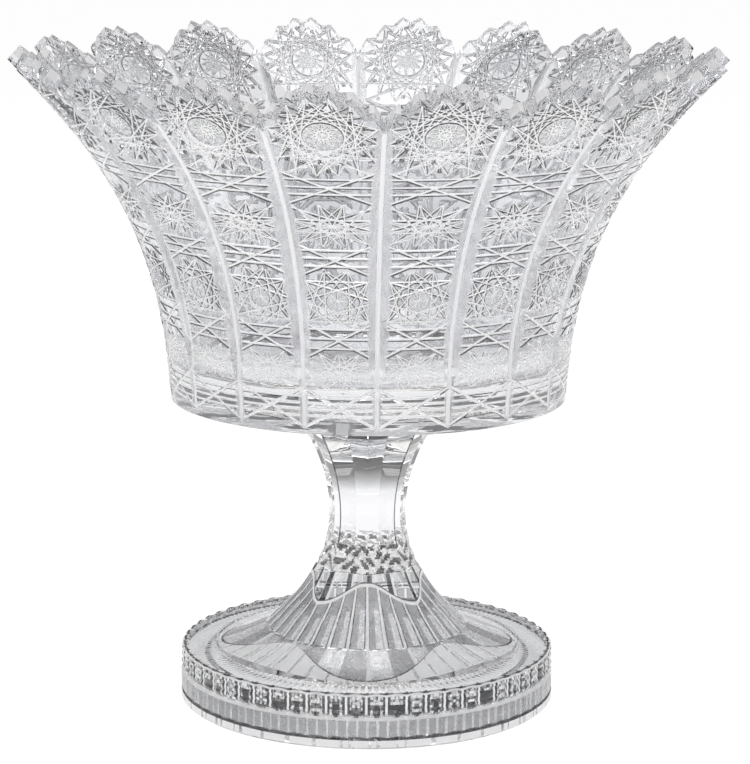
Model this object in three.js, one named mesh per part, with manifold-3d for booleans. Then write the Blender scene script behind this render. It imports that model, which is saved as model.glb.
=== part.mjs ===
// Footed bowl of cut crystal: a flared bowl with a scalloped rim and eighteen
// upright mitre grooves, bonded to an eight-sided stem on a ribbed, fluted foot.
// Millimetres, +Z up, standing on z = 0 with its axis on Z. A groove of the bowl
// and a corner of the stem both face about -Y.
import * as THREE from 'three';
import { mergeVertices } from 'three/addons/utils/BufferGeometryUtils.js';
import Module from 'manifold-3d';

const wasm = await Module();
wasm.setup();

// Driving dimensions.
const rimRadius = 152.5;
const bowlFloorHeight = 134;     // underside of the bowl above the table
const bowlOuterRise = 144.5;     // from there up to the outer edge of the rim
const bowlBaseRadius = 85;
const bowlLean = 10;             // even outward lean of the wall from base to rim
const flarePower = 2.5;          // how late the wall turns outward
const baseWall = 10;
const rimWall = 7;
const cavityFloor = 15;          // thickness of glass under the inside of the bowl
const cavityCorner = 26;         // radius between the inside floor and the wall
const panels = 18;
const bowlTurn = 2.4;            // degrees between a groove and the stem's corner
const scallopDrop = 0.09;        // depth of the rim's dips, as a share of the rise
const mitreDepth = 2.8;
const mitreWidth = 9.4;
const mitreFoot = 16;            // where a groove runs out above the bowl's underside
const mitreRunOut = 9;

const bond = 0.3;                // thickness of each layer of adhesive
const waistRadius = 16.5;        // to the corners of the stem
const waistHeight = 82;
const upperFlare = 0.0082;       // growth of the radius with the square of the height
const lowerFlare = 0.0108;
const stemBottom = 59;
const stemSides = 8;

const footRadius = 81;
const footEdge = 23.7;           // height of the foot's upright edge
const ribs = 60;
const ribDepth = 1.7;
const ribBottom = 14;
const fluteBandBottom = 5;
const ribBandDip = 0.6;
const footBevel = 0.9;
const ringRadius = 65.5;         // where the flat top turns up towards the cone
const coneRadius = 43.5;
const coneFlutes = 32;
const coneFluteDepth = 1.5;
const coneTop = 53;
const recessRadius = 70;
const recessDepth = 2.5;

const degrees = Math.PI / 180;

const crystal = (color) => new THREE.MeshStandardMaterial({ color, roughness: 0.04, metalness: 0 });
const materials = {
  bowl: crystal(0xe6e9ec),
  stem: crystal(0xd9dde2),
  foot: crystal(0xdfe3e6),
  bond: crystal(0xf1efe6),
};

// A turned body about Z; `shape` may move each vertex, given its column and row.
function turned(profile, columns, shape) {
  const geometry = new THREE.LatheGeometry(profile, columns);
  if (shape) {
    const position = geometry.attributes.position;
    for (let column = 0; column <= columns; column += 1) {
      for (let row = 0; row < profile.length; row += 1) {
        const { radius, height, angle } = shape(column % columns, row);
        const index = column * profile.length + row;
        position.setXYZ(index, radius * Math.sin(angle), height, radius * Math.cos(angle));
      }
    }
  }
  return geometry.rotateX(Math.PI / 2);
}

function solid(geometry) {
  geometry.deleteAttribute('normal');
  geometry.deleteAttribute('uv');
  const merged = mergeVertices(geometry, 1e-4);
  const kept = [];
  const index = merged.index.array;
  for (let i = 0; i < index.length; i += 3) {
    const [a, b, c] = [index[i], index[i + 1], index[i + 2]];
    if (a !== b && b !== c && c !== a) {
      kept.push(a, b, c);
    }
  }
  return new wasm.Manifold(new wasm.Mesh({
    numProp: 3,
    vertProperties: new Float32Array(merged.attributes.position.array),
    triVerts: new Uint32Array(kept),
  }));
}

function geometryOf(manifold) {
  const mesh = manifold.getMesh();
  const geometry = new THREE.BufferGeometry();
  geometry.setAttribute('position', new THREE.BufferAttribute(mesh.vertProperties, 3));
  geometry.setIndex(new THREE.BufferAttribute(mesh.triVerts, 1));
  geometry.computeVertexNormals();
  return geometry;
}

function piece(name, manifold, material) {
  const mesh = new THREE.Mesh(geometryOf(manifold), material);
  mesh.name = name;
  return mesh;
}

// The bowl's wall: t runs from 0 at the underside to 1 at the rim's outer edge.
const bowlFlare = rimRadius - bowlBaseRadius - bowlLean;

function outerWall(t) {
  return {
    radius: bowlBaseRadius + bowlLean * t + bowlFlare * t ** flarePower,
    height: bowlFloorHeight + bowlOuterRise * t,
  };
}

function innerWall(t) {
  const { radius, height } = outerWall(t);
  const slope = (bowlLean + bowlFlare * flarePower * t ** (flarePower - 1)) / bowlOuterRise;
  const wall = baseWall + (rimWall - baseWall) * t;
  const reach = wall / Math.hypot(1, slope);
  return { radius: radius - reach, height: height + reach * slope };
}

function bowl() {
  const wallStart = 0.02;
  const innerStart = 0.24;
  const outerRows = [wallStart, 0.1, 0.15, 0.2, 0.3, 0.4, 0.5, 0.6, 0.7, 0.78, 0.86, 0.93, 1];
  const innerRows = [1, 0.92, 0.84, 0.74, 0.62, 0.5, 0.37, innerStart];
  const rows = [];
  rows.push({ side: 'fixed', radius: 0, height: bowlFloorHeight });
  rows.push({ side: 'fixed', radius: bowlBaseRadius - 2, height: bowlFloorHeight });
  outerRows.forEach((t) => rows.push({ side: 'outer', t }));
  innerRows.forEach((t) => rows.push({ side: 'inner', t }));
  const cornerTop = innerWall(innerStart);
  const cavityHeight = bowlFloorHeight + cavityFloor;
  const cornerSteps = 3;
  for (let step = 1; step <= cornerSteps; step += 1) {
    const turn = (step / cornerSteps) * 90 * degrees;
    rows.push({
      side: 'fixed',
      radius: cornerTop.radius - cavityCorner * (1 - Math.cos(turn)),
      height: cornerTop.height - (cornerTop.height - cavityHeight) * Math.sin(turn),
    });
  }
  rows.push({ side: 'fixed', radius: 0, height: cavityHeight });

  // Across one panel: the groove's line, its two edges and the panel's face.
  const columnsPerPanel = 6;
  const panelAngle = 360 / panels;
  const scallopStart = 0.8;

  const across = (column, t) => {
    const place = column % columnsPerPanel;
    const edge = (mitreWidth / 2 / outerWall(t).radius) / degrees;
    const middle = (panelAngle / 2 + edge) / 2;
    return [0, edge, middle, panelAngle / 2, panelAngle - middle, panelAngle - edge][place];
  };

  const alongScallop = (t, share) => {
    if (t <= scallopStart) {
      return t;
    }
    const rim = 1 - scallopDrop * (1 - Math.sin(share * Math.PI));
    return scallopStart + ((t - scallopStart) * (rim - scallopStart)) / (1 - scallopStart);
  };

  const shape = (column, row) => {
    const { side, t = 0.5, radius, height } = rows[row];
    const panel = Math.floor(column / columnsPerPanel);
    const offset = across(column, side === 'fixed' ? innerStart : t);
    const angle = (panel * panelAngle + offset + bowlTurn) * degrees;
    if (side === 'fixed') {
      return { radius, height, angle };
    }
    const place = alongScallop(t, offset / panelAngle);
    if (side === 'inner') {
      return { ...innerWall(place), angle };
    }
    const point = outerWall(place);
    if (offset === 0) {
      const above = point.height - bowlFloorHeight - mitreFoot;
      point.radius -= mitreDepth * Math.min(1, Math.max(0, above / mitreRunOut));
    }
    return { ...point, angle };
  };

  const profile = rows.map((row, i) => {
    const { radius, height } = shape(3, i);
    return new THREE.Vector2(radius, height);
  });
  return solid(turned(profile, panels * columnsPerPanel, shape));
}

// The stem's corner line, which the foot's cone carries on.
function stemRadius(height) {
  const away = height - waistHeight;
  return waistRadius + (away > 0 ? upperFlare : lowerFlare) * away ** 2;
}

function column(bottom, top, sides, steps, radiusAt) {
  const profile = [new THREE.Vector2(0, bottom)];
  for (let step = 0; step <= steps; step += 1) {
    const height = bottom + ((top - bottom) * step) / steps;
    profile.push(new THREE.Vector2(radiusAt(height), height));
  }
  profile.push(new THREE.Vector2(0, top));
  return turned(profile, sides);
}

function stem() {
  return solid(column(stemBottom, bowlFloorHeight - bond, stemSides, 14, stemRadius));
}

function bondFilm(bottom, radius) {
  return solid(column(bottom, bottom + bond, stemSides, 1, () => radius));
}

function footPlate() {
  const inside = recessRadius - recessDepth;
  const neck = stemRadius(coneTop) - 5;
  const rows = [
    [0, recessDepth, 0],
    [inside, recessDepth, 0],
    [recessRadius, 0, 0],
    [footRadius - footBevel, 0, 0],
    [footRadius, footBevel, 0],
    [footRadius, fluteBandBottom, 0],
    [footRadius, fluteBandBottom + 1, ribBandDip],
    [footRadius, ribBottom, ribBandDip],
    [footRadius, ribBottom + 1, ribDepth],
    [footRadius, footEdge - 1, ribDepth],
    [footRadius - 1, footEdge, ribDepth],
    [ringRadius, footEdge, 0],
    [coneRadius, coneBottom(), 0],
    [neck, coneBottom() + 1, 0],
    [0, coneBottom() + 1, 0],
  ];
  const profile = rows.map(([radius, height]) => new THREE.Vector2(radius, height));
  const columns = ribs * 2;
  return solid(turned(profile, columns, (place, row) => {
    const [radius, height, dip] = rows[row];
    const angle = (place * 360 * degrees) / columns;
    return { radius: radius - (place % 2 ? dip : 0), height, angle };
  }));
}

// Height at which the flared line reaches the foot of the cone.
function coneBottom() {
  return waistHeight - Math.sqrt((coneRadius - waistRadius) / lowerFlare);
}

function footCone() {
  const bottom = coneBottom();
  const steps = 5;
  const rows = [[0, bottom - 2, 0], [coneRadius, bottom - 2, 0]];
  for (let step = 0; step <= steps; step += 1) {
    const height = bottom + ((coneTop - bottom) * step) / steps;
    rows.push([stemRadius(height), height, coneFluteDepth]);
  }
  rows.push([0, coneTop, 0]);
  const profile = rows.map(([radius, height]) => new THREE.Vector2(radius, height));
  const columns = coneFlutes * 2;
  return solid(turned(profile, columns, (place, row) => {
    const [radius, height, dip] = rows[row];
    const angle = (place * 360 * degrees) / columns;
    return { radius: radius - (place % 2 ? dip : 0), height, angle };
  }));
}

function foot() {
  const neck = solid(column(coneTop - 6, stemBottom - bond, stemSides, 3, stemRadius));
  return footPlate().add(footCone()).add(neck);
}

const bowlWithStem = new THREE.Group();
bowlWithStem.add(piece('bowl', bowl(), materials.bowl));
bowlWithStem.add(piece('bowl_bond_film', bondFilm(bowlFloorHeight - bond, 37), materials.bond));
bowlWithStem.add(piece('stem', stem(), materials.stem));
bowlWithStem.add(piece('foot_bond_film', bondFilm(stemBottom - bond, 21.5), materials.bond));
bowlWithStem.add(piece('foot', foot(), materials.foot));

export default bowlWithStem;
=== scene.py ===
"""Looks of a footed bowl of cut crystal.

Lengths inside the shape functions are millimetres, in the frame's own axes: the
bowl stands on z = 0, its axis is Z, and it is seen from -Y.
"""
import math

import bmesh
import bpy
import numpy as np
from mathutils import Matrix, Vector

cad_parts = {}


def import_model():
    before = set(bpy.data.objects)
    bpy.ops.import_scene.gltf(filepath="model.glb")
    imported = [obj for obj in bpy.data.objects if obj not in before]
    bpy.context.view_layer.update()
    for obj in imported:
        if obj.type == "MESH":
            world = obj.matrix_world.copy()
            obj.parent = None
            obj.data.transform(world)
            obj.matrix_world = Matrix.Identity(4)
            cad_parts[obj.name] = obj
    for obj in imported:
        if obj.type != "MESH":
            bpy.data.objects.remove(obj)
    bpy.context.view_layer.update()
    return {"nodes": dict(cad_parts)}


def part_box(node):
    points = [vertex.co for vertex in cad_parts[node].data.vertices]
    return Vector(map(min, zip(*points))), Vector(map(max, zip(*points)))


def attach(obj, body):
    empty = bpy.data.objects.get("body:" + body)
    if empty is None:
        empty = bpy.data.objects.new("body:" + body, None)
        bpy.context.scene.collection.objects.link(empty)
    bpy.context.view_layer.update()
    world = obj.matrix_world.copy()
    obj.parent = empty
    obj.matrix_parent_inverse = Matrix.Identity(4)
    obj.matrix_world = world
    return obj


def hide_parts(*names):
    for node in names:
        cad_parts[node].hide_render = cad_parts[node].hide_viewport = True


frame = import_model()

MM = 0.001


def millimetres(node):
    low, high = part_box(node)
    return np.array(low) / MM, np.array(high) / MM


# ---------------------------------------------------------------- driving sizes
bowl_low, bowl_high = millimetres("bowl")
stem_low, stem_high = millimetres("stem")
foot_high = millimetres("foot")[1]

# The bowl: an upright outer curve that leans and flares, and a wall inside it.
PANELS = 18
PANEL_ANGLE = 2 * math.pi / PANELS
BOWL_TURN = math.radians(2.4)      # from a corner of the stem to a groove
BOWL_FLOOR = bowl_low[2]
RIM_RADIUS = bowl_high[0] / math.cos(BOWL_TURN)
BASE_RADIUS = 85.0
LEAN = 10.0                        # gained evenly up the wall
FLARE = RIM_RADIUS - BASE_RADIUS - LEAN
FLARE_POWER = 2.5
RISE = 144.5
BASE_WALL = 10.0
RIM_WALL = 7.0
CAVITY_FLOOR = 15.0
CAVITY_CORNER = 26.0
CAVITY_START = 0.24                # share of the rise where the inside wall starts
FLOOR_SHARE = 0.35                 # of the cavity below that, what its flat floor takes
FLOOR_MIDDLE = 2.0                 # radius of the face that closes the cavity's floor

# The rim: scallops, one to a panel, with V notches.
SCALLOP_DROP = 0.09
RIM_NOTCHES = 6
NOTCH_OUTSIDE = 6.4                # depth of a rim notch on the outer face
NOTCH_INSIDE = 3.4
TIP_START = 3.5                    # how far in from the outer face the tips are white frost, a painted highlight

# The stem: eight sides round a waist, with rippled cuts round the bottom.
SIDES = 8
ARCHES = SIDES // 2                # round the cone of the foot
WAIST_RADIUS = 16.5
WAIST_HEIGHT = 82.0
UPPER_FLARE = 0.0082               # radius gained per square of the distance above it
LOWER_FLARE = 0.0108
STEM_ROWS = 80
WAVES = 14
WAVE_TOP = 70.0
WAVE_FADE = 3.0
WAVE_DEPTH = 0.8

# The foot, in heights from the floor.
FOOT_RADIUS = foot_high[0]
FOOT_EDGE = 23.7
BEVEL = 0.9
RIBS = 60
RIB_BOTTOM = 14.4
RIB_TOP = 21.6
RIB_ROWS = 7
RIB_DEPTH = 2.1
RIB_SWELL = 0.3                    # of a rib's face, in and out up its height
FLUTES = 32
FLUTE_TOP = 49.3
FLUTE_ROWS = 18
ARCH_HEIGHT = 50.0                 # mean height of the line over the flutes
ARCH_RISE = 4.3                    # and how far it goes above and below that
CONE_RADIUS = 43.5
RING_RADIUS = 65.5
RING_BEADS = 160
BEAD_DEPTH = 0.7
RECESS_RADIUS = 70.0
RECESS_DEPTH = 2.5

TURN_STEPS = 960                   # a multiple of ribs, flutes, beads and sides
CONTACT = 0.02                     # glass meets the adhesive with no air between

# Places in each piece's list of materials, which place() fills in this order.
# The near-black finish and the dark grey satin are painted shade; the white frost is also a
# painted highlight on ridges, edges and tips.
POLISHED, FROST_AND_PAINTED_HIGHLIGHT, SATIN, JOINT, SATIN_WITH_PAINTED_SHADE, PAINTED_SHADE, CLEAR = range(7)


# ---------------------------------------------------------------- mesh helpers
def new_mesh(name, points, faces, finishes=()):
    """A mesh, and for each face the place of its material in the mesh's list."""
    mesh = bpy.data.meshes.new(name)
    mesh.from_pydata([tuple(p) for p in points], [], faces)
    if finishes:
        mesh.polygons.foreach_set("material_index", finishes)
    return mesh


def outward(mesh):
    work = bmesh.new()
    work.from_mesh(mesh)
    bmesh.ops.recalc_face_normals(work, faces=work.faces)
    work.to_mesh(mesh)
    work.free()
    return mesh


def crisp(mesh, angle=24.0):
    """Smooth shading, broken at every edge sharper than the angle."""
    work = bmesh.new()
    work.from_mesh(mesh)
    limit = math.radians(angle)
    for face in work.faces:
        face.smooth = True
    for edge in work.edges:
        edge.smooth = edge.is_manifold and edge.calc_face_angle(0.0) < limit
    work.to_mesh(mesh)
    work.free()
    return mesh


def link(thing):
    bpy.context.scene.collection.objects.link(thing)


def place(name, mesh, node, glass):
    """Puts a piece in the scene, in place of a CAD node."""
    piece = bpy.data.objects.new(name, mesh)
    link(piece)
    for material in (glass, frost_and_painted_highlight_glass, satin_glass, joint_glass,
                     satin_painted_shade_glass, painted_shade_glass, stem_glass):
        mesh.materials.append(material)
    piece.visible_shadow = False
    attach(piece, "root")
    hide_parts(node)


# ---------------------------------------------------------------- the bowl's wall
def outer_wall(t):
    radius = BASE_RADIUS + LEAN * t + FLARE * t ** FLARE_POWER
    return radius, BOWL_FLOOR + RISE * t


def wall_slope(t):
    return (LEAN + FLARE * FLARE_POWER * t ** (FLARE_POWER - 1)) / RISE


def inner_wall(t):
    radius, height = outer_wall(t)
    slope = wall_slope(t)
    reach = (BASE_WALL + (RIM_WALL - BASE_WALL) * t) / np.hypot(1, slope)
    return radius - reach, height + reach * slope


def cavity(t):
    """Inside of the bowl: floor, round corner and wall, for t from 0 to 1."""
    start_radius, start_height = inner_wall(CAVITY_START)
    floor_height = BOWL_FLOOR + CAVITY_FLOOR
    share = np.clip(t / CAVITY_START, 0, 1)
    along = np.clip(share / FLOOR_SHARE, 0, 1)
    turn = np.clip((share - FLOOR_SHARE) / (1 - FLOOR_SHARE), 0, 1) * math.pi / 2
    floor_radius = start_radius - CAVITY_CORNER
    corner_radius = floor_radius + CAVITY_CORNER * np.sin(turn)
    corner_height = floor_height + (start_height - floor_height) * (1 - np.cos(turn))
    flat_radius = FLOOR_MIDDLE + (floor_radius - FLOOR_MIDDLE) * along
    radius = np.where(share < FLOOR_SHARE, flat_radius, corner_radius)
    height = np.where(share < FLOOR_SHARE, floor_height, corner_height)
    wall_radius, wall_height = inner_wall(np.maximum(t, CAVITY_START))
    above = t >= CAVITY_START
    return np.where(above, wall_radius, radius), np.where(above, wall_height, height)


def wall_lengths(shares):
    """Lengths along the outer wall, from the underside to each share of the rise."""
    radii, heights = outer_wall(shares)
    return np.concatenate([[0], np.cumsum(np.hypot(np.diff(radii), np.diff(heights)))])


SHARES = np.linspace(0, 1.05, 2101)     # of the rise, to just past the rim
LENGTHS = wall_lengths(SHARES)


def share_at(length):
    return np.interp(length, LENGTHS, SHARES)


def length_at(share):
    return np.interp(share, SHARES, LENGTHS)


def height_to_length(height):
    return length_at((height - BOWL_FLOOR) / RISE)


def half_panel(length):
    return outer_wall(share_at(length))[0] * PANEL_ANGLE / 2


# ---------------------------------------------------------------- cutting one panel
# A panel is cut as a flat slab: x across it, from -SLAB to SLAB at every height,
# y along the wall from the underside, and z out of the glass. It is then bent
# onto the bowl.
SLAB = 20.0
SLAB_DEPTH = 10.0
SLAB_TOP = 1.03                    # shares of the rise: past the rim,
CUTTER_TOP = 1.05                  # and past the slab
UNDERSIDE_RINGS = (0.988, 0.45)    # radius of each ring, as a share of the one outside it

WHEEL_RISE = 0.6                   # how far the cutting wheel stands off the glass
WHEEL = math.tan(math.radians(50))
FROST = 0.23                       # half-width of the unpolished valley of a cut
BOLD_FROST = 0.42
FINE_FROST = 0.18
NICK_LENGTH = 2.6
NICK_DEPTH = 1.0
NICK_FROST = 0.08
GOLDEN_TURN = math.pi * (3 - math.sqrt(5))
LATTICE_REACH = 24.0               # how far a star's lines may run to each side

MITRE_WHEEL = math.tan(math.radians(60))
MITRE_BOTTOM = 151.0               # height where the deep grooves between panels begin
MITRE_TOP = 0.99                   # share of the rise
MITRE_STOPS = 34
MITRE_DEPTH = 2.9
MITRE_FROST = 0.9

# Rows of the pattern: the middle of each star, in lengths from the underside.
RIM_STAR = 140.0
UPPER_STAR = 92.3
LOWER_STAR = 57.3
BASE_STAR = 26.5


def slab_x(across, length):
    return SLAB * across / half_panel(length)


def slab(columns=8, step=5.0):
    """The uncut panel: a grid in front and behind, joined round its edges."""
    top = length_at(SLAB_TOP)
    rows = int(top / step)
    x_values = np.linspace(-SLAB, SLAB, columns + 1)
    y_values = np.linspace(0, top, rows + 1)
    points = [(x, y, z) for z in (0.0, -SLAB_DEPTH) for y in y_values for x in x_values]
    layer = (columns + 1) * (rows + 1)

    def at(side, row, column):
        return side * layer + row * (columns + 1) + column

    faces = []
    for side in (0, 1):
        for row in range(rows):
            for column in range(columns):
                corners = [(row, column), (row, column + 1),
                           (row + 1, column + 1), (row + 1, column)]
                faces.append([at(side, *corner) for corner in corners])
    for row in (0, rows):
        for column in range(columns):
            faces.append([at(0, row, column), at(0, row, column + 1),
                          at(1, row, column + 1), at(1, row, column)])
    for column in (0, columns):
        for row in range(rows):
            faces.append([at(0, row, column), at(0, row + 1, column),
                          at(1, row + 1, column), at(1, row, column)])
    return outward(new_mesh("slab", points, faces))


def groove(path, wheel=WHEEL, frost=FROST, sides=(POLISHED, PAINTED_SHADE)):
    """The sweep of a V-edged wheel along a path of (across, length, depth).

    The valley is frosted to the given half-width, and each side has its own finish;
    by default the second side is near-black glass, painted shade.
    """
    path = np.array(path, float)
    along = np.gradient(path[:, :2], axis=0)
    along /= np.linalg.norm(along, axis=1)[:, None]
    side = np.stack([-along[:, 1], along[:, 0]], 1)
    points = []
    for (across, length, depth), way in zip(path, side):
        half = (depth + WHEEL_RISE) * wheel
        for offset, z in ((half, WHEEL_RISE), (frost, frost / wheel - depth), (0, -depth),
                          (-frost, frost / wheel - depth), (-half, WHEEL_RISE)):
            edge_length = length + way[1] * offset
            points.append((slab_x(across + way[0] * offset, edge_length), edge_length, z))
    corners = 5
    around = (sides[0], FROST_AND_PAINTED_HIGHLIGHT, FROST_AND_PAINTED_HIGHLIGHT, sides[1], sides[0])
    faces, finishes = [list(range(corners))], [sides[0]]
    for start in range(0, len(points) - corners, corners):
        for k in range(corners):
            after = (k + 1) % corners
            faces.append([start + k, start + corners + k, start + corners + after, start + after])
            finishes.append(around[k])
    faces.append([len(points) - 1 - k for k in range(corners)])
    finishes.append(sides[0])
    return outward(new_mesh("groove", points, faces, finishes))


# By default one side of the cut is near-black: painted shade.
def straight(start, end, depth, taper=2.0, frost=FROST, sides=(POLISHED, PAINTED_SHADE), step=5.0):
    """A straight cut, which runs out of the glass over the taper at both ends."""
    start, end = np.array(start, float), np.array(end, float)
    span = np.linalg.norm(end - start)
    count = max(2, math.ceil(span / step))
    stops = [0.0, *np.linspace(taper, span - taper, count), span]
    depths = [-WHEEL_RISE / 2, *[depth] * count, -WHEEL_RISE / 2]
    return groove([(*(start + (end - start) * stop / span), deep)
                   for stop, deep in zip(stops, depths)], frost=frost, sides=sides)


def chords(centre, width, height, points, skips, turn=0.0):
    """Lines that join points round an ellipse, each to the ones almost opposite."""
    angles = [2 * math.pi * (k + turn) / points for k in range(points)]
    tips = [np.array([width * math.sin(a), centre + height * math.cos(a)]) for a in angles]
    for skip in skips:
        for k in range(points // 2 if 2 * skip == points else points):
            yield tips[k], tips[(k + skip) % points]


def star(centre, radius, points, skips, depth):
    """A small star of cuts that end at its points."""
    lines = chords(centre, radius, radius, points, skips)
    return [straight(start, end, depth, 1.0, FINE_FROST) for start, end in lines]


def lattice(centre, size, points, skips, cell, depth, turn=0.0):
    """The lines of a star, carried on to the edges of its cell of the panel."""
    low, high = cell
    cuts = []
    for start, end in chords(centre, *size, points, skips, turn):
        span = end - start
        stops = []
        for way, near, far in ((0, -LATTICE_REACH, LATTICE_REACH), (1, low, high)):
            if abs(span[way]) > 1e-6:
                stops.append(sorted(((near - start[way]) / span[way],
                                     (far - start[way]) / span[way])))
        first = max(stop[0] for stop in stops)
        last = min(stop[1] for stop in stops)
        cuts.append(straight(start + first * span, start + last * span, depth))
    return cuts


# By default one side of each cut is near-black: painted shade.
def band(lines, cross, depth, sides=(POLISHED, PAINTED_SHADE)):
    """Level cuts across a panel, with two long cuts crossing over them."""
    cuts = []
    for length in lines:
        reach = half_panel(length) + 3
        cuts.append(straight((-reach, length), (reach, length), depth, 0.5, BOLD_FROST, sides))
    low, high = cross
    for first, last in ((low, high), (high, low)):
        start, end = (-half_panel(first), first), (half_panel(last), last)
        cuts.append(straight(start, end, depth + 0.1, 0.5, BOLD_FROST, sides))
    return cuts


def nicks(centre, inner, outer, count):
    """Short cuts scattered through a ring round a star's middle, near-black on both sides: painted
    shade.
    """
    cuts = []
    for k in range(count):
        angle = k * GOLDEN_TURN
        radius = inner + (outer - inner) * math.sqrt((k + 0.5) / count)
        middle = np.array([radius * math.sin(angle), centre + radius * math.cos(angle)])
        reach = np.array([math.sin(2 * angle), math.cos(2 * angle)]) * NICK_LENGTH / 2
        cuts.append(straight(middle - reach, middle + reach, NICK_DEPTH, taper=0.5,
                             frost=NICK_FROST, sides=(PAINTED_SHADE, PAINTED_SHADE)))
    return cuts


def seat(outline, depth, spread=0.5):
    """A shallow satin seat, sunk into the glass inside an outline of (x, length)."""
    count = len(outline)
    middle = np.mean(outline, axis=0)
    points = [(x, y, -depth) for x, y in outline]
    for x, y in outline:
        away = np.array([x, y]) - middle
        wide = middle + away * (1 + spread / np.linalg.norm(away))
        points.append((*wide, WHEEL_RISE))
    faces = [list(range(count)), list(range(2 * count - 1, count - 1, -1))]
    for k in range(count):
        after = (k + 1) % count
        faces.append([k, after, count + after, count + k])
    return outward(new_mesh("seat", points, faces, [SATIN] + [POLISHED] * (count + 1)))


def button(centre, radius, depth, steps=32):
    """The sunk round seat in the middle of a star."""
    outline = []
    for k in range(steps):
        angle = 2 * math.pi * k / steps
        length = centre + radius * math.cos(angle)
        outline.append((slab_x(radius * math.sin(angle), length), length))
    return seat(outline, depth)


def frosted_row(low, high, depth):
    """A satin strip across the whole panel."""
    wide = SLAB + 1
    return seat([(-wide, low), (wide, low), (wide, high), (-wide, high)], depth, 0.3)


def mitres():
    """The deep upright grooves between panels, and the thin cuts below them."""
    cuts = []
    bottom, top = height_to_length(MITRE_BOTTOM), length_at(MITRE_TOP)
    stops = np.linspace(bottom, top, MITRE_STOPS)
    depths = MITRE_DEPTH * np.interp(stops, [bottom, bottom + 4, bottom + 14, 70, 110, top],
                                     [-0.1, 0.45, 0.8, 1.0, 0.85, 0.42])
    low, high = 2.5, bottom + 1.5
    thin = ((low - 1, -0.4), (low + 1, 1.1), ((low + high) / 2, 1.3), (high - 1, 1.2),
            (high + 1, -0.4))
    for way in (-1, 1):
        for profile in (zip(stops, depths), thin):
            path = [(way * half_panel(stop), stop, depth) for stop, depth in profile]
            cuts.append(groove(path, MITRE_WHEEL, MITRE_FROST, (SATIN, SATIN)))
    return cuts


def rim_outline():
    """Cutter for the rim: scallops with V notches, cut through the whole wall.

    The notches are deepest on the outer face. From TIP_START in, the tips
    between them are white frost, a painted highlight. That has to be less than
    half of the slab's depth, because bend() takes everything deeper to the inner wall.
    """
    top = length_at(CUTTER_TOP)
    past = SLAB + 4
    steps = RIM_NOTCHES * 4
    count = steps + 5
    points = []
    for z in (0.5, -TIP_START, -SLAB_DEPTH - 0.5):
        notch = NOTCH_OUTSIDE + (NOTCH_INSIDE - NOTCH_OUTSIDE) * (0.5 - z) / (SLAB_DEPTH + 1)
        outline = []
        for k in range(steps + 1):
            share = k / steps
            rim = length_at(1 - SCALLOP_DROP * (1 - math.sin(share * math.pi)))
            rim -= notch * abs(k % 4 - 2) / 2
            outline.append((SLAB * (2 * share - 1), rim))
        outline = [(-past, outline[0][1] + 6), *outline, (past, outline[-1][1] + 6)]
        outline += [(past, top), (-past, top)]
        points += [(x, y, z) for x, y in outline]
    faces = [list(range(count)), list(range(3 * count - 1, 2 * count - 1, -1))]
    finishes = [POLISHED, POLISHED]
    for layer in (0, count):
        for k in range(count):
            after = (k + 1) % count
            faces.append([layer + k, layer + after, layer + count + after, layer + count + k])
            # The tips get white frost: a painted highlight.
            tip = layer > 0 and k % 4 in (2, 3)
            finishes.append(FROST_AND_PAINTED_HIGHLIGHT if tip else POLISHED)
    return outward(new_mesh("rim", points, faces, finishes))


def panel_cuts():
    """Every cut of a panel, from the pattern's rows of stars and bands to the rim."""
    cuts = [frosted_row(20.5, 31.5, 0.12)]
    cuts += lattice(RIM_STAR, size=(22, 22), points=16, skips=(6, 5),
                    cell=(118, 161), depth=0.62, turn=0.5)
    cuts += band(lines=(116.3, 112.2, 108.4), cross=(121.0, 102.3), depth=0.65)
    cuts += lattice(UPPER_STAR, size=(19, 11.5), points=12, skips=(6, 5),
                    cell=(82.5, 104), depth=0.55, turn=0.5)
    cuts += band(lines=(80.7, 77.0, 73.2), cross=(84.5, 67.7), depth=0.65)
    cuts += lattice(LOWER_STAR, size=(15.5, 15), points=10, skips=(4, 3),
                    cell=(46.5, 71.5), depth=0.55, turn=0.5)
    cuts += band(lines=(45.0, 40.8, 36.6), cross=(48.9, 31.5), depth=0.65)
    cuts += lattice(BASE_STAR, size=(16, 9), points=12, skips=(5, 6), cell=(19, 35), depth=0.35)
    cuts += band(lines=(15.7, 13.2, 10.6, 7.9), cross=(19.5, 3.0), depth=0.6,
                 sides=(POLISHED, POLISHED))
    cuts += nicks(RIM_STAR, inner=10.0, outer=20.0, count=22)
    cuts.append(button(RIM_STAR, radius=7.6, depth=0.9))
    cuts += star(RIM_STAR, radius=8.2, points=12, skips=(5, 6), depth=1.2)
    cuts.append(button(LOWER_STAR, radius=4.2, depth=1.0))
    cuts += star(LOWER_STAR, radius=4.6, points=8, skips=(4,), depth=1.3)
    cuts += mitres()
    cuts.append(rim_outline())
    return cuts


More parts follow.
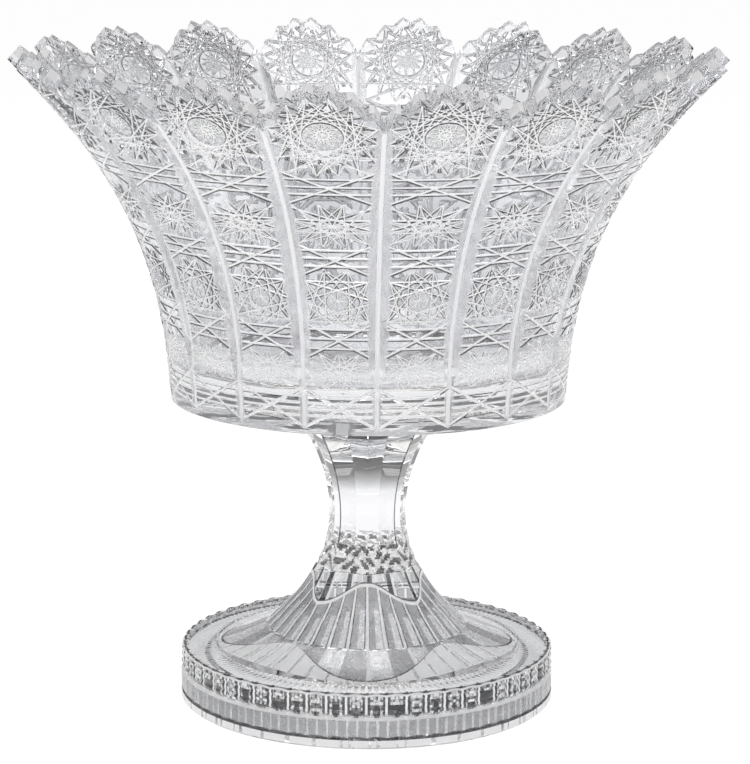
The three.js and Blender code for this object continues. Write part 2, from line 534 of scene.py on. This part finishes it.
def cut_away(mesh, cuts):
    """Subtracts the cuts from the mesh, one after another.

    All of them get the same list of materials, so that each face keeps its place in it.
    """
    # Placeholders in the order of the finishes; the band one is the dark grey satin and the shade
    # one the near-black glass, both painted shade.
    finishes = [bpy.data.materials.new(name)
                for name in ("polished", "cut", "satin", "joint", "band", "shade")]
    for body in (mesh, *cuts):
        for finish in finishes:
            body.materials.append(finish)
    glass = bpy.data.objects.new("glass", mesh)
    tool = bpy.data.objects.new("tool", cuts[0])
    for helper in (glass, tool):
        link(helper)
    for cut in cuts:
        tool.data = cut
        modifier = glass.modifiers.new("cut", "BOOLEAN")
        modifier.operation = "DIFFERENCE"
        modifier.solver = "MANIFOLD"
        modifier.object = tool
        graph = bpy.context.evaluated_depsgraph_get()
        result = bpy.data.meshes.new_from_object(glass.evaluated_get(graph))
        glass.modifiers.clear()
        glass.data = result
    result = glass.data
    for helper in (glass, tool):
        bpy.data.objects.remove(helper)
    return result


def bend(points):
    """Flat slab to the bowl: returns angle, radius and height of each point.

    Points in the outer half of the slab keep their depth, and the others go to
    the inner wall.
    """
    x, y, z = points.T
    t = share_at(y)
    slope = wall_slope(t)
    stretch = np.hypot(1, slope)
    radius, height = outer_wall(t)
    radius = radius + z / stretch
    height = height - z * slope / stretch
    deep_radius, deep_height = cavity(t)
    deep = z < -SLAB_DEPTH / 2
    angle = x / SLAB * PANEL_ANGLE / 2
    return angle, np.where(deep, deep_radius, radius), np.where(deep, deep_height, height)


def close_bowl(work):
    """Closes the middle of the cavity's floor and the round underside."""
    between = (BOWL_FLOOR + CAVITY_FLOOR / 3) * MM
    edges = [edge for edge in work.edges if edge.is_boundary]
    middle = [edge for edge in edges if edge.verts[0].co.z > between]
    base = [edge for edge in edges if edge.verts[0].co.z < between]
    bmesh.ops.contextual_create(work, geom=middle)
    for shrink in UNDERSIDE_RINGS:
        made = bmesh.ops.extrude_edge_only(work, edges=base)["geom"]
        for vertex in made:
            if isinstance(vertex, bmesh.types.BMVert):
                vertex.co.x *= shrink
                vertex.co.y *= shrink
                vertex.co.z = (BOWL_FLOOR - CONTACT) * MM
        base = [edge for edge in made if isinstance(edge, bmesh.types.BMEdge) and edge.is_boundary]
    for face in bmesh.ops.contextual_create(work, geom=base)["faces"]:
        face.material_index = JOINT


def bowl_mesh():
    """One cut panel, bent onto the bowl, repeated round it and closed below."""
    panel = cut_away(slab(), panel_cuts())
    points = np.array([vertex.co for vertex in panel.vertices])
    faces, finishes = [], []
    for polygon in panel.polygons:
        corners = points[polygon.vertices]
        on_side = np.all(np.abs(np.abs(corners[:, 0]) - SLAB) < 1e-4)
        at_bottom = np.all(corners[:, 1] < 1e-4)
        if not on_side and not at_bottom:
            faces.append(list(polygon.vertices))
            finishes.append(polygon.material_index)
    angle, radius, height = bend(points)
    all_points, all_faces = [], []
    for k in range(PANELS):
        turned = angle + (k + 0.5) * PANEL_ANGLE + BOWL_TURN
        xyz = np.stack([radius * np.sin(turned), -radius * np.cos(turned), height], 1)
        first = len(all_points) * len(points)
        all_points.append(xyz)
        all_faces += [[first + vertex for vertex in face] for face in faces]
    mesh = new_mesh("bowl", np.concatenate(all_points) * MM, all_faces, finishes * PANELS)
    work = bmesh.new()
    work.from_mesh(mesh)
    bmesh.ops.remove_doubles(work, verts=work.verts, dist=0.004 * MM)
    close_bowl(work)
    bmesh.ops.recalc_face_normals(work, faces=work.faces)
    work.to_mesh(mesh)
    work.free()
    return crisp(mesh)


# ---------------------------------------------------------------- turned glass
def repeat(step, count):
    """Place within one of count equal spans round the axis, from 0 to 1."""
    return step * count / TURN_STEPS % 1


def turn_at(step):
    return 2 * math.pi * step / TURN_STEPS


def sided(step):
    """How far a side of the stem lies inside the corners' circle."""
    span = TURN_STEPS / SIDES
    from_corner = max(1, span / 2 - abs(step % span - span / 2))
    angle = 2 * math.pi * (from_corner / TURN_STEPS - 0.5 / SIDES)
    return math.cos(math.pi / SIDES) / math.cos(angle)


def turned_mesh(name, rows, bottom, top):
    """A closed body turned from (row, finish) pairs.

    A row gives the radius and height at a step round the axis, and its finish
    that of the glass between there and the next row. The last finish isn't used.
    """
    points = []
    for row, _ in rows:
        for step in range(TURN_STEPS):
            radius, height = row(step)
            angle = turn_at(step)
            points.append((radius * math.sin(angle), -radius * math.cos(angle), height))
    faces = [list(range(TURN_STEPS - 1, -1, -1))]
    finishes = [bottom]
    for number, (_, finish) in enumerate(rows[:-1]):
        low = number * TURN_STEPS
        for step in range(TURN_STEPS):
            after = (step + 1) % TURN_STEPS
            faces.append([low + step, low + after,
                          low + TURN_STEPS + after, low + TURN_STEPS + step])
            finishes.append(finish(step))
    last = (len(rows) - 1) * TURN_STEPS
    faces.append([last + step for step in range(TURN_STEPS)])
    finishes.append(top)
    return crisp(outward(new_mesh(name, np.array(points) * MM, faces, finishes)), 18)


# ---------------------------------------------------------------- finishes of turned glass
def everywhere(finish):
    """The same finish all round."""
    return lambda step: finish


def striped(step):
    """Satin tinted dark grey as painted shade, with a light satin stripe at every half rib as
    painted light.
    """
    return SATIN if repeat(step, RIBS * 2) < 0.25 else SATIN_WITH_PAINTED_SHADE


def fluted(light):
    """The finish of flutes: ridges of white frost as painted highlights, near-black lines
    beside them as painted shade, and two faces between, the first tinted dark as painted shade.
    """
    def finish(step):
        across = repeat(step, FLUTES)
        from_ridge = 1 - abs(across * 2 - 1)
        if from_ridge < 0.3:
            return FROST_AND_PAINTED_HIGHLIGHT if from_ridge < 0.2 else PAINTED_SHADE
        return SATIN_WITH_PAINTED_SHADE if across < 0.5 else light
    return finish


def column(step):
    """Upright stripes round the top of the cone: near-black ones as painted shade, white frost
    ones as painted highlights.
    """
    across = repeat(step, SIDES * 2)
    return PAINTED_SHADE if across < 0.22 else FROST_AND_PAINTED_HIGHLIGHT if across < 0.34 else POLISHED


def fan(step):
    """White, with satin streaks of uneven width."""
    turn = turn_at(step)
    return SATIN if math.sin(130 * turn) + math.sin(41 * turn) > 1.1 else FROST_AND_PAINTED_HIGHLIGHT


def side_line(step):
    """A thin near-black line down every other corner of the stem: painted shade."""
    half_width = 0.014
    return PAINTED_SHADE if abs(repeat(step, SIDES // 2) - 0.5) < half_width else POLISHED


def margin(step):
    """Facets inside the ribs: near-black lines between them as painted shade, and some of
    them partly white frost as painted highlights.
    """
    across = repeat(step, RIBS)
    if across < 0.1:
        return PAINTED_SHADE
    # Which ribs get the painted highlight.
    white = math.sin(3.1 * (step * RIBS // TURN_STEPS)) > 0.2
    return FROST_AND_PAINTED_HIGHLIGHT if across < 0.55 and white else POLISHED


def petal(step):
    """Light satin facets and dark grey ones as painted shade, with a white frost line between as a
    painted highlight.
    """
    across = repeat(step, FLUTES // 2)
    return FROST_AND_PAINTED_HIGHLIGHT if across < 0.08 else SATIN if across < 0.5 else SATIN_WITH_PAINTED_SHADE


def rib_face(level):
    """White frost edges as painted highlights, near-black lines inside them and a near-black
    patch that differs from rib to rib as painted shade, and squiggles of both.
    """
    def finish(step):
        rib = step * RIBS // TURN_STEPS
        across = abs(repeat(step + 0.5, RIBS) - 0.5) * 2
        if across > 0.84:
            return FROST_AND_PAINTED_HIGHLIGHT
        patch_top = 17.3 + 2.5 * math.sin(2.4 * rib)
        patch_side = 0.4 + 0.25 * math.sin(1.3 * rib)
        squiggle = math.sin(1.8 * level + 5 * across + rib)
        if across > 0.68 or (level < patch_top and across < patch_side) or squiggle > 0.88:
            return PAINTED_SHADE
        return FROST_AND_PAINTED_HIGHLIGHT if squiggle < -0.75 else POLISHED
    return finish


# ---------------------------------------------------------------- stem
def stem_radius(height):
    """Radius of the stem's corners, and of the cone below them."""
    away = height - WAIST_HEIGHT
    return WAIST_RADIUS + np.where(away > 0, UPPER_FLARE, LOWER_FLARE) * away ** 2


def wave(step, height):
    """Cuts that wander round the bottom of the stem, from -1 to 1."""
    turn = turn_at(step)
    wander = 1.5 * math.sin(3 * turn) + 0.8 * math.sin(5 * turn + height)
    return math.sin(WAVES * turn + wander) * math.sin(height + 2 * math.sin(7 * turn))


def stem_ring(height):
    """A row of the stem and its finish: rippled at the bottom, with painted shade and highlights,
    and plain sides above with a painted shade line at every other corner.
    """
    radius = float(stem_radius(height))
    ripple = WAVE_DEPTH * float(np.clip((WAVE_TOP - height) / WAVE_FADE, 0, 1))

    def row(step):
        return radius * sided(step) - ripple * (1 + wave(step, height)) / 2, height

    # Near-black in the ripples' hollows as painted shade, white frost on their crests as painted
    # highlights.
    def rippled(step):
        depth = wave(step, height)
        return PAINTED_SHADE if depth > 0.15 else FROST_AND_PAINTED_HIGHLIGHT if depth < -0.6 else POLISHED

    return row, (rippled if ripple > 0 else side_line)


def stem_mesh():
    """Rows from film to film."""
    heights = np.linspace(stem_low[2] - CONTACT, stem_high[2] + CONTACT, STEM_ROWS)
    rows = [stem_ring(float(height)) for height in heights]
    return turned_mesh("stem", rows, JOINT, JOINT)


# ---------------------------------------------------------------- foot
def rib_dip(step, depth):
    """Round-faced ribs with a narrow groove between neighbours."""
    from_middle = abs(repeat(step, RIBS) - 0.5) * 2
    return depth if from_middle > 0.9 else depth * 0.4 * from_middle ** 2


def flute_dip(step, depth):
    across = repeat(step, FLUTES) * 2 - 1
    return depth * (1 - across ** 2)


def plain_row(radius, height, finish=POLISHED):
    """The same radius and height all round."""
    def row(step):
        return radius, height
    return row, everywhere(finish)


def edge_row(inward, height, depth=0.0, drop=0.0, finish=everywhere(POLISHED)):
    """A row of the upright edge, some way inward of the foot's radius.

    It has the depth in the grooves between the ribs, and drops towards them.
    """
    def row(step):
        fall = drop * (abs(repeat(step, RIBS) - 0.5) * 2) ** 2
        return FOOT_RADIUS - inward - rib_dip(step, depth), height - fall
    return row, finish


def bead_row(radius):
    """A level row with a nick between neighbouring beads."""
    def row(step):
        on_groove = step % (TURN_STEPS // RING_BEADS) == 0
        return radius, FOOT_EDGE - (BEAD_DEPTH if on_groove else 0.0)
    return row, everywhere(POLISHED)


def underside():
    """A shallow recess inside a flat standing ring."""
    return [plain_row(3, RECESS_DEPTH, CLEAR),
            plain_row(RECESS_RADIUS - RECESS_DEPTH, RECESS_DEPTH),
            plain_row(RECESS_RADIUS, 0),
            plain_row(FOOT_RADIUS - BEVEL, 0)]


def upright_edge():
    """A plain ring, a wavy groove, a softly fluted band, the bold ribs and their rim, with painted
    shade and highlights.
    """
    # white is a painted highlight in frost, at the band's top and the ribs' tops; dark is painted
    # shade in near-black glass, in the wavy groove and at the edge of the top.
    white, dark = everywhere(FROST_AND_PAINTED_HIGHLIGHT), everywhere(PAINTED_SHADE)
    rows = [edge_row(0, BEVEL, finish=fan),
            edge_row(0, 3.9, finish=dark),
            edge_row(1.2, 4.6, drop=0.5, finish=dark),
            edge_row(0, 5.6, depth=0.5, drop=0.7, finish=striped),
            edge_row(0, 9.0, depth=0.5, finish=striped),
            edge_row(0, 12.4, depth=0.5, finish=white),
            edge_row(1.1, 13.4, depth=0.6, drop=-0.5)]
    for height in np.linspace(RIB_BOTTOM, RIB_TOP, RIB_ROWS):
        swell = RIB_SWELL * math.sin(height * 2.1)
        rows.append(edge_row(RIB_SWELL - swell, float(height), depth=RIB_DEPTH,
                             finish=rib_face(height)))
    rows += [edge_row(0.25, 23.0, depth=RIB_DEPTH, drop=BEVEL, finish=white),
             edge_row(BEVEL, FOOT_EDGE, depth=1.6, drop=BEVEL, finish=dark),
             edge_row(2.0, FOOT_EDGE, depth=0.6, finish=margin),
             edge_row(3.2, FOOT_EDGE)]
    return rows


def top_face():
    """The nearly flat top, up to a beaded ring."""
    return [plain_row(RING_RADIUS + 1.9, FOOT_EDGE - 0.2),
            bead_row(RING_RADIUS + 1.1),
            bead_row(RING_RADIUS + 0.3),
            plain_row(RING_RADIUS - 0.6, FOOT_EDGE - 0.6)]


def slope_row(part, cone_bottom, finish):
    """A row on the slope, for a part from 0 to 1 on the fans and 1 to 2 on the petals."""
    def row(step):
        border = 0.5 - 0.42 * math.cos(2 * math.pi * repeat(step, ARCHES))
        share = border * part if part < 1 else border + (0.97 - border) * (part - 1)
        radius = RING_RADIUS + (CONE_RADIUS - RING_RADIUS) * share
        return radius, FOOT_EDGE + (cone_bottom - FOOT_EDGE) * share ** 1.3
    return row, finish


def slope(cone_bottom):
    """White fans and satin petals, with a near-black line between as painted shade."""
    parts = ((0.2, fan), (0.5, fan), (0.8, fan), (1.0, everywhere(PAINTED_SHADE)),
             (1.05, petal), (1.5, petal), (2.0, everywhere(POLISHED)))
    return [slope_row(part, cone_bottom, finish) for part, finish in parts]


def cone_row(level, cone_bottom, finish):
    """A row of the cone, which has flutes below and the stem's sides above."""
    flat = float(np.clip((level - 40) / 10, 0, 1))
    depth = float(np.interp(level, [cone_bottom, cone_bottom + 1, 45, ARCH_HEIGHT],
                            [0.9, 1, 0.75, 0]))
    rise = ARCH_RISE * float(np.interp(level, [36, 48, ARCH_HEIGHT + 2, foot_high[2]],
                                       [0, 1, 1, 0]))

    def row(step):
        height = level + rise * math.cos(2 * math.pi * repeat(step, ARCHES))
        radius = float(stem_radius(height))
        return radius * (1 - flat + flat * sided(step)) - flute_dip(step, depth), height
    return row, finish


def cone(cone_bottom):
    """Flutes that run up into four broad arches, and stripes from there to the stem."""
    rows = []
    for level in np.linspace(cone_bottom, FLUTE_TOP, FLUTE_ROWS):
        # Above 43 mm both faces of each flute are dark grey satin, painted shade, so the flutes
        # darken towards the top.
        rows.append(cone_row(float(level), cone_bottom, fluted(SATIN_WITH_PAINTED_SHADE if level > 43 else SATIN)))
    # The arch line is white frost, a painted highlight, and the row over it near-black, painted
    # shade.
    rows.append(cone_row(ARCH_HEIGHT, cone_bottom, everywhere(FROST_AND_PAINTED_HIGHLIGHT)))
    rows.append(cone_row(ARCH_HEIGHT + 1.3, cone_bottom, everywhere(PAINTED_SHADE)))
    for level in np.linspace(ARCH_HEIGHT + 1.8, foot_high[2] + CONTACT, 5):
        rows.append(cone_row(float(level), cone_bottom, column))
    return rows


def foot_mesh():
    """All rows from the middle of the underside, round the edge and up the cone."""
    cone_bottom = WAIST_HEIGHT - math.sqrt((CONE_RADIUS - WAIST_RADIUS) / LOWER_FLARE)
    rows = underside() + upright_edge() + top_face() + slope(cone_bottom) + cone(cone_bottom)
    return turned_mesh("foot", rows, CLEAR, JOINT)


# ---------------------------------------------------------------- materials
def node_material(name):
    material = bpy.data.materials.new(name)
    material.use_nodes = True
    nodes = material.node_tree.nodes
    nodes.clear()
    output = nodes.new("ShaderNodeOutputMaterial")
    shader = nodes.new("ShaderNodeBsdfPrincipled")
    material.node_tree.links.new(shader.outputs["BSDF"], output.inputs["Surface"])
    return material, shader


def noise(material, scale, streak):
    """Noise in the object's own coordinates, drawn out along Z by the streak."""
    nodes, links = material.node_tree.nodes, material.node_tree.links
    coordinates = nodes.new("ShaderNodeTexCoord")
    stretch = nodes.new("ShaderNodeMapping")
    stretch.inputs["Scale"].default_value = (1, 1, streak)
    texture = nodes.new("ShaderNodeTexNoise")
    texture.inputs["Scale"].default_value = scale
    texture.inputs["Detail"].default_value = 2.0
    links.new(coordinates.outputs["Object"], stretch.inputs["Vector"])
    links.new(stretch.outputs["Vector"], texture.inputs["Vector"])
    return texture.outputs["Fac"]


def ranged(material, value, low, high):
    nodes, links = material.node_tree.nodes, material.node_tree.links
    mapping = nodes.new("ShaderNodeMapRange")
    mapping.inputs["From Min"].default_value = 0.3
    mapping.inputs["From Max"].default_value = 0.7
    mapping.inputs["To Min"].default_value = low
    mapping.inputs["To Max"].default_value = high
    links.new(value, mapping.inputs["Value"])
    return mapping.outputs["Result"]


def tinted(material, value, first, second):
    nodes, links = material.node_tree.nodes, material.node_tree.links
    ramp = nodes.new("ShaderNodeValToRGB")
    ramp.color_ramp.elements[0].position = 0.35
    ramp.color_ramp.elements[0].color = (*first, 1)
    ramp.color_ramp.elements[1].position = 0.65
    ramp.color_ramp.elements[1].color = (*second, 1)
    links.new(value, ramp.inputs["Fac"])
    return ramp.outputs["Color"]


# Scales of the noise in a material, in marks to the metre.
BROAD_MARKS = 14.0
STREAK_MARKS = 450.0
POLISH_MARKS = 220.0
RIPPLE_MARKS = 76.0                # more than the tint's marks
RIPPLE_HEIGHT = 0.2 * MM


def crystal(name, first, second, polish, ripple, clear=1.0, index=1.56, streak=1.0):
    """Crystal, or clear resin: faint marks of tint, a hand polish and slow ripples.

    A streak under 1 makes the marks fine and draws them out along the height.
    """
    material, shader = node_material(name)
    links = material.node_tree.links
    shader.inputs["IOR"].default_value = index
    shader.inputs["Transmission Weight"].default_value = clear
    marks = BROAD_MARKS if streak == 1.0 else STREAK_MARKS
    tint = tinted(material, noise(material, marks, streak), first, second)
    links.new(tint, shader.inputs["Base Color"])
    roughness = ranged(material, noise(material, POLISH_MARKS, streak), *polish)
    links.new(roughness, shader.inputs["Roughness"])
    bump = material.node_tree.nodes.new("ShaderNodeBump")
    bump.inputs["Strength"].default_value = ripple
    bump.inputs["Distance"].default_value = RIPPLE_HEIGHT
    links.new(noise(material, marks + RIPPLE_MARKS, streak), bump.inputs["Height"])
    links.new(bump.outputs["Normal"], shader.inputs["Normal"])
    return material


# ---------------------------------------------------------------- stage, in metres
FLOOR_RADIUS = 12.0
FLOOR_SIDES = 64
FLOOR_GAP = 0.0002                 # how far the floor lies below the foot
FLOOR_GLOW = 0.97
LAMP_HEIGHT = 1.6
LAMP_SIZE = 1.1
SOFTBOXES = 4
SOFTBOX_DISTANCE = 1.8
SOFTBOX_HEIGHT = 1.2
FOOT_LIGHT_HEIGHT = 0.85

# The camera, from a pinhole fitted to the photo's outline of the rim, stem and foot.
CAMERA_LENS = 145.2
CAMERA_PLACE = (0, -1.3, 0.406)
CAMERA_TIP = math.radians(11.61)
CAMERA_PAN = math.radians(-0.13)
CAMERA_ROLL = math.radians(0.35)


def aim(lamp, spot, target):
    lamp.location = spot
    lamp.rotation_euler = (Vector(target) - Vector(spot)).to_track_quat("-Z", "Y").to_euler()


def floor():
    """A pale glowing disc, so that the glass is lit from below as on a white table."""
    material, shader = node_material("floor")
    shader.inputs["Roughness"].default_value = 0.9
    shader.inputs["Base Color"].default_value = (0.1, 0.1, 0.1, 1)
    shader.inputs["Emission Color"].default_value = (1, 1, 1, 1)
    shader.inputs["Emission Strength"].default_value = FLOOR_GLOW
    ring = [(FLOOR_RADIUS * math.cos(a), FLOOR_RADIUS * math.sin(a), 0)
            for a in np.linspace(0, 2 * math.pi, FLOOR_SIDES, endpoint=False)]
    mesh = new_mesh("floor", ring, [list(range(FLOOR_SIDES))])
    mesh.materials.append(material)
    plane = bpy.data.objects.new("floor", mesh)
    plane.location.z = -FLOOR_GAP
    link(plane)


def world():
    """A bright horizon that darkens overhead, the same from every side."""
    sky = bpy.data.worlds.new("studio")
    bpy.context.scene.world = sky
    sky.use_nodes = True
    nodes, links = sky.node_tree.nodes, sky.node_tree.links
    background = nodes["Background"]
    coordinates = nodes.new("ShaderNodeTexCoord")
    split = nodes.new("ShaderNodeSeparateXYZ")
    ramp = nodes.new("ShaderNodeValToRGB")
    stops = ((0.0, 0.9), (0.08, 0.5), (0.18, 0.2), (0.4, 0.05), (1.0, 0.02))
    while len(ramp.color_ramp.elements) < len(stops):
        ramp.color_ramp.elements.new(0.5)
    for element, (position, value) in zip(ramp.color_ramp.elements, stops):
        element.position = position
        element.color = (value, value, value, 1)
    links.new(coordinates.outputs["Generated"], split.inputs["Vector"])
    links.new(split.outputs["Z"], ramp.inputs["Fac"])
    links.new(ramp.outputs["Color"], background.inputs["Color"])
    background.inputs["Strength"].default_value = 1.0


def softbox(name, spot, target, size, power):
    light = bpy.data.lights.new(name, "AREA")
    light.shape = "RECTANGLE"
    light.size, light.size_y = size
    light.energy = power
    lamp = bpy.data.objects.new(name, light)
    aim(lamp, spot, target)
    link(lamp)


def foot_light(angle):
    """A narrow light that reaches the foot under the flare of the bowl.

    It shows in no reflection, and not through the glass.
    """
    light = bpy.data.lights.new("foot light", "SPOT")
    light.energy = 10
    light.spot_size = math.radians(7.6)
    light.spot_blend = 0.3
    light.shadow_soft_size = 0.08
    lamp = bpy.data.objects.new("foot light", light)
    lamp.visible_glossy = False
    lamp.visible_transmission = False
    aim(lamp, (math.sin(angle), -math.cos(angle), FOOT_LIGHT_HEIGHT), (0, 0, 0.02))
    link(lamp)


def lights():
    """A lamp overhead, and a softbox and a foot light on each of four sides."""
    softbox("overhead", (0, 0, LAMP_HEIGHT), (0, 0, 0), (LAMP_SIZE, LAMP_SIZE), 12)
    for number in range(SOFTBOXES):
        angle = 2 * math.pi * number / SOFTBOXES
        spot = (SOFTBOX_DISTANCE * math.sin(angle), -SOFTBOX_DISTANCE * math.cos(angle),
                SOFTBOX_HEIGHT)
        softbox("softbox", spot, (0, 0, 0.2), (1.0, 0.6), 4)
        foot_light(angle)


def camera():
    """A long lens at eye height above the rim, tipped down at the bowl."""
    data = bpy.data.cameras.new("camera")
    data.lens = CAMERA_LENS
    data.clip_start, data.clip_end = 0.05, 60
    view = bpy.data.objects.new("camera", data)
    turn = (Matrix.Rotation(CAMERA_PAN, 4, "Z") @ Matrix.Rotation(math.pi / 2 - CAMERA_TIP, 4, "X")
            @ Matrix.Rotation(CAMERA_ROLL, 4, "Z"))
    view.matrix_world = Matrix.Translation(CAMERA_PLACE) @ turn
    link(view)
    bpy.context.scene.camera = view


def settings():
    """Standard colours, and enough bounces for light to get through the cut glass."""
    scene = bpy.context.scene
    scene.view_settings.view_transform = "Standard"
    cycles = scene.cycles
    cycles.use_denoising = True
    cycles.max_bounces = 28
    cycles.transmission_bounces = 28
    cycles.glossy_bounces = 12
    cycles.caustics_reflective = True
    cycles.caustics_refractive = True


# ---------------------------------------------------------------- the scene
camera()
settings()
world()
floor()
lights()

bowl_glass = crystal("cut crystal", (0.86, 0.863, 0.885), (0.81, 0.813, 0.837),
                     polish=(0.0, 0.02), ripple=0.1)
satin_glass = crystal("satin cuts", (0.97, 0.975, 1.0), (0.8, 0.805, 0.835),
                      polish=(0.12, 0.35), ripple=0.8, clear=0.8, streak=0.12)
# White frost: the unpolished valleys of the bowl's cuts, and also painted highlights on the rim's
# tips and on ridges, edges and lines of the stem and foot.
frost_and_painted_highlight_glass = crystal("frosted cuts and painted highlights", (1.0, 1.0, 1.0), (0.96, 0.965, 0.98),
                    polish=(0.3, 0.5), ripple=0.3, clear=0.1)
stem_glass = crystal("stem crystal", (0.935, 0.938, 0.955), (0.905, 0.908, 0.93),
                     polish=(0.0, 0.015), ripple=0.1)
foot_glass = crystal("foot crystal", (0.86, 0.865, 0.88), (0.8, 0.805, 0.82),
                     polish=(0.0, 0.02), ripple=0.1)
# Satin tinted dark grey: painted shade on the foot's band, on one face of each flute and on the
# petals.
satin_painted_shade_glass = crystal("satin tinted as painted shade", (0.46, 0.462, 0.475), (0.38, 0.382, 0.395),
                     polish=(0.2, 0.35), ripple=0.15, clear=0.7)
# Near-black glass: painted shade, put on narrow faces where the real crystal goes dark by total
# reflection.
painted_shade_glass = crystal("painted shade glass", (0.06, 0.06, 0.063), (0.03, 0.03, 0.032),
                      polish=(0.0, 0.05), ripple=0.2)
joint_glass = crystal("contact faces", (1, 1, 1), (0.99, 0.99, 0.99),
                      polish=(0.0, 0.01), ripple=0.0, index=1.0)
bond_glass = crystal("cured adhesive", (1.0, 0.995, 0.975), (0.99, 0.985, 0.96),
                     polish=(0.0, 0.02), ripple=0.3, index=1.05)

place("cut_bowl", bowl_mesh(), "bowl", bowl_glass)
place("faceted_stem", stem_mesh(), "stem", stem_glass)
place("ribbed_foot", foot_mesh(), "foot", foot_glass)
for film in ("bowl_bond_film", "foot_bond_film"):
    frame["nodes"][film].data.materials.clear()
    frame["nodes"][film].data.materials.append(bond_glass)
